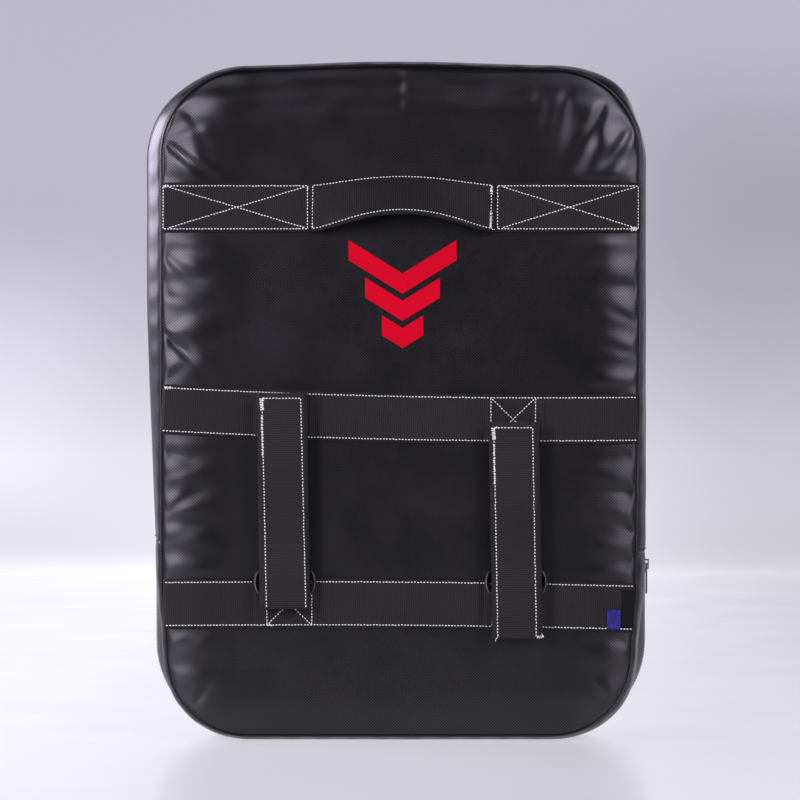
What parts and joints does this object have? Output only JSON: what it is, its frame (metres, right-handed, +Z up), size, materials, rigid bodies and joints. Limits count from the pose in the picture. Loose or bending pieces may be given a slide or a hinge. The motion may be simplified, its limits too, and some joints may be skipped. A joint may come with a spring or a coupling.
{
  "type": "kick shield",
  "caption": "Large padded strike shield in a sewn cover, with webbing bands, a top carry handle, two arm straps on plastic rings and a zipped gusset.",
  "frame": {"origin": "middle of the flat base on which the shield stands, half way through its depth", "axes": "+Z up, +Y out of the strike face, -Y out of the handle side, +X to the right seen from the handle side"},
  "size_m": [0.5008, 0.1784, 0.677],
  "materials": {
    "cover_pvc": "semi-gloss PVC-coated fabric with a fine embossed weave",
    "webbing": "matt ribbed polypropylene webbing",
    "thread": "matt white bonded thread",
    "ring_plastic": "satin moulded plastic",
    "foam_core": "open-cell foam",
    "foam_dense": "closed-cell foam",
    "zip_plastic": "satin coil",
    "zip_metal": "black enamel worn at the edges",
    "zip_tape": "woven polyester",
    "red_print": "matt printed film",
    "label_black": "woven satin",
    "label_blue": "woven satin"
  },
  "bodies": {
    "cover": {"back_foam": "foam_dense", "back_panel": "cover_pvc", "back_welt": "cover_pvc", "black_label": "label_black", "blue_label": "label_blue", "core_foam": "foam_core", "emblem": "red_print", "front_welt": "cover_pvc", "handle_left_end": "webbing", "handle_left_end_cover": "webbing", "handle_right_end": "webbing", "handle_right_end_cover": "webbing", "left_ring_tab": "webbing", "left_strap_top_end": "webbing", "lower_band": "webbing", "lower_band_thread": "thread", "lower_gusset_back": "cover_pvc", "lower_gusset_front": "cover_pvc", "middle_band": "webbing", "middle_band_thread": "thread", "right_ring_tab": "webbing", "right_strap_top_end": "webbing", "strike_foam": "foam_dense", "strike_panel": "cover_pvc", "top_band_left": "webbing", "top_band_left_thread": "thread", "top_band_right": "webbing", "top_band_right_thread": "thread", "upper_gusset": "cover_pvc", "zip_end_stops": "zip_plastic", "zip_tape_back": "zip_tape", "zip_tape_front": "zip_tape", "zip_teeth": "zip_plastic"},
    "carry_handle": {"handle_strap": "webbing", "handle_cover": "webbing", "handle_thread": "thread"},
    "left_strap": {"left_strap_pad": "webbing", "left_strap_backing": "webbing", "left_strap_thread": "thread", "left_strap_bottom_end": "webbing"},
    "right_strap": {"right_strap_pad": "webbing", "right_strap_backing": "webbing", "right_strap_thread": "thread", "right_strap_bottom_end": "webbing"},
    "left_ring": {"left_ring": "ring_plastic"},
    "right_ring": {"right_ring": "ring_plastic"},
    "zip_slider": {"zip_slider": "zip_metal"},
    "zip_pull": {"zip_pull": "zip_metal"}
  },
  "joints": [
    {"name": "carry_handle_swing", "type": "hinge", "parent": "cover", "child": "carry_handle", "pos_m": [0.0018, -0.073, 0.5297], "axis": [1, 0, 0], "range_deg": [0, 55], "deforming": ["handle_left_end", "handle_left_end_cover", "handle_right_end", "handle_right_end_cover"]},
    {"name": "left_strap_pull", "type": "slide", "parent": "cover", "child": "left_strap", "axis": [0, -0.809, 0.5878], "range_m": [0, 0.017], "deforming": ["left_strap_top_end", "left_strap_bottom_end"]},
    {"name": "left_ring_swing", "type": "hinge", "parent": "cover", "child": "left_ring", "pos_m": [-0.1155, -0.077, 0.1692], "axis": [-1, 0, 0], "range_deg": [0, 48.5]},
    {"name": "right_strap_pull", "type": "slide", "parent": "cover", "child": "right_strap", "axis": [0, -0.809, 0.5878], "range_m": [0, 0.017], "deforming": ["right_strap_top_end", "right_strap_bottom_end"]},
    {"name": "right_ring_swing", "type": "hinge", "parent": "cover", "child": "right_ring", "pos_m": [0.113, -0.077, 0.1692], "axis": [-1, 0, 0], "range_deg": [0, 48.5]},
    {"name": "zip_slide", "type": "slide", "parent": "cover", "child": "zip_slider", "axis": [0, 0, -1], "range_m": [0, 0.062]},
    {"name": "zip_pull_swing", "type": "hinge", "parent": "zip_slider", "child": "zip_pull", "pos_m": [0.2504, 0.022, 0.172], "axis": [0, -1, 0], "range_deg": [0, 170]}
  ],
  "couplings": [
    {"joint": "left_ring_swing", "follows": "left_strap_pull", "rad_per_m": 49.041},
    {"joint": "right_ring_swing", "follows": "right_strap_pull", "rad_per_m": 49.041}
  ]
}
